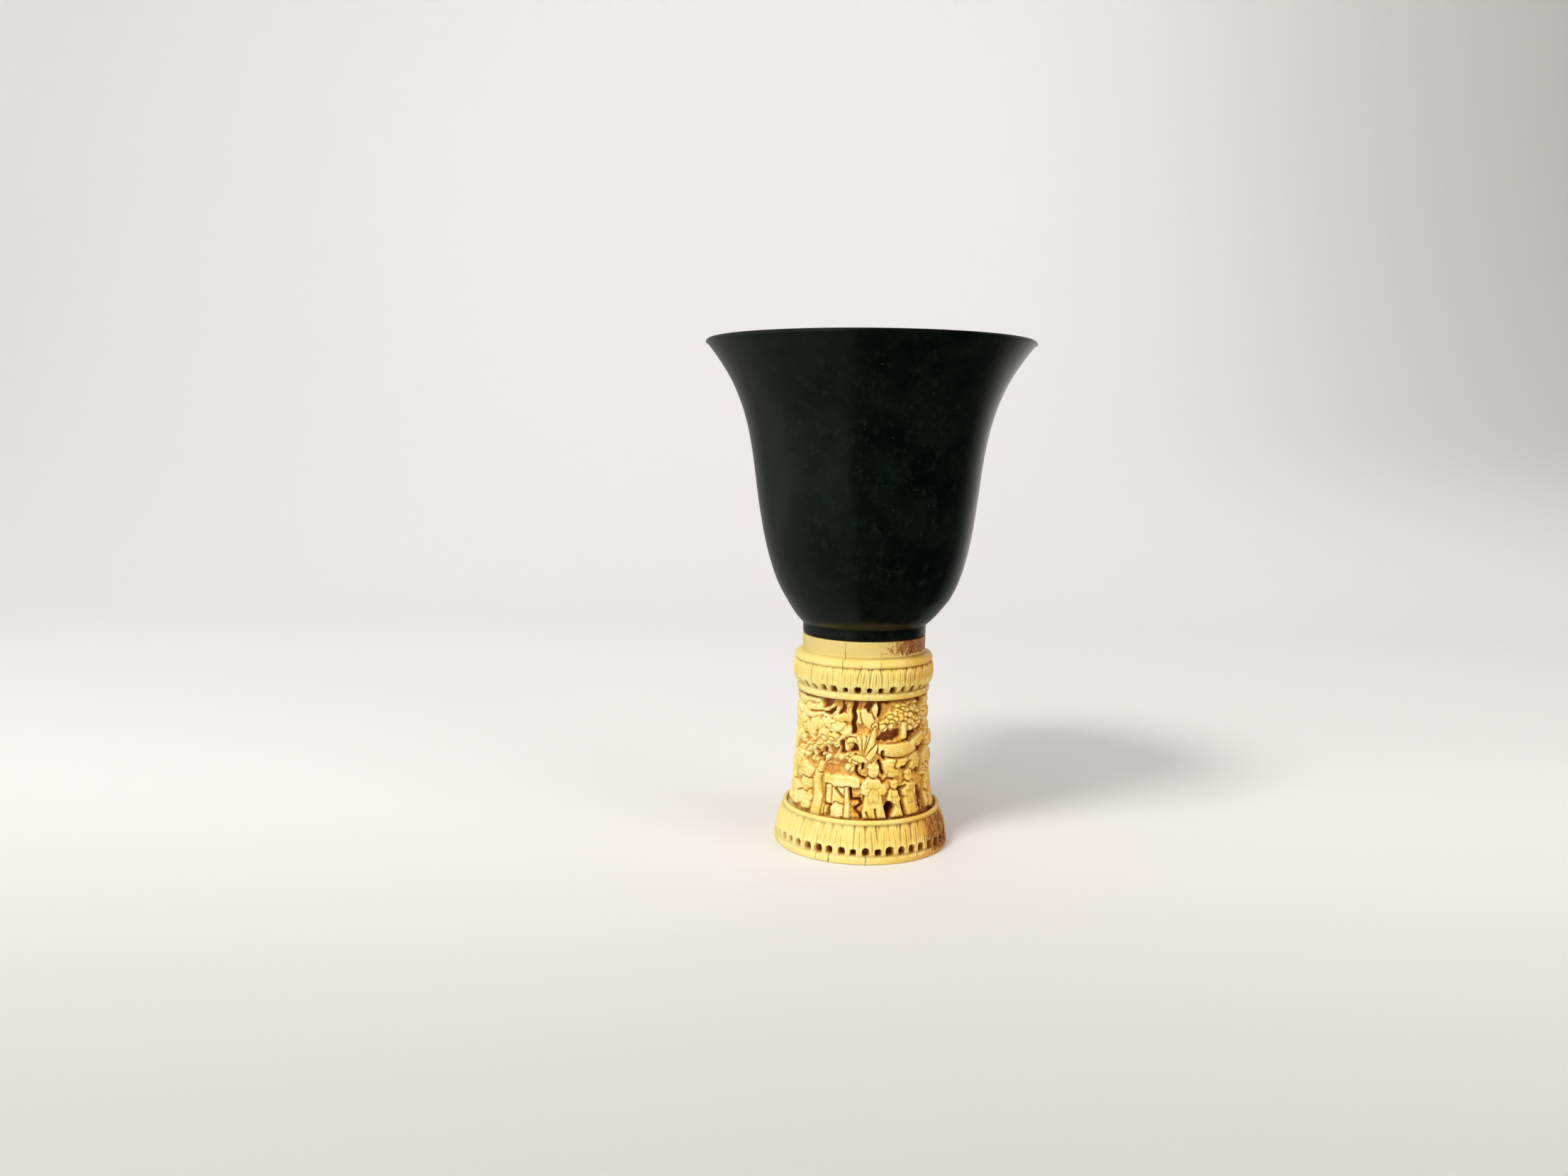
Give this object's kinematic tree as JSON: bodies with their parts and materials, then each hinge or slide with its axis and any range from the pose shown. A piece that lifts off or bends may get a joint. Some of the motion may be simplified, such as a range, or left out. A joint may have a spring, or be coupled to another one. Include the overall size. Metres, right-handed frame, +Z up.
{
  "type": "footed jade cup on a carved stand",
  "caption": "Flared dark jade cup with a foot ring that lifts off a turned and relief-carved ivory stand with leaf bands.",
  "frame": {"origin": "centre of the underside of the base, on the surface that the stand rests on", "axes": "+Z up along the turning axis of the stand and cup, -Y towards the side that the picture shows"},
  "size_m": [0.078, 0.078, 0.121],
  "materials": {
    "jade": "polished dark green nephrite, mottled",
    "ivory_turned": "polished aged ivory",
    "ivory_carved": "carved aged ivory, browned in the recesses",
    "ivory_inner": "plain turned ivory, unpolished"
  },
  "bodies": {
    "stand": {"base": "ivory_turned", "base_plug": "ivory_inner", "drum": "ivory_carved", "capital": "ivory_turned", "cup_seat": "ivory_inner"},
    "cup": {"jade_cup": "jade"}
  },
  "joints": [
    {"name": "cup_lift", "type": "slide", "parent": "stand", "child": "cup", "axis": [0, 0, 1], "range_m": [0, 0.04]}
  ]
}
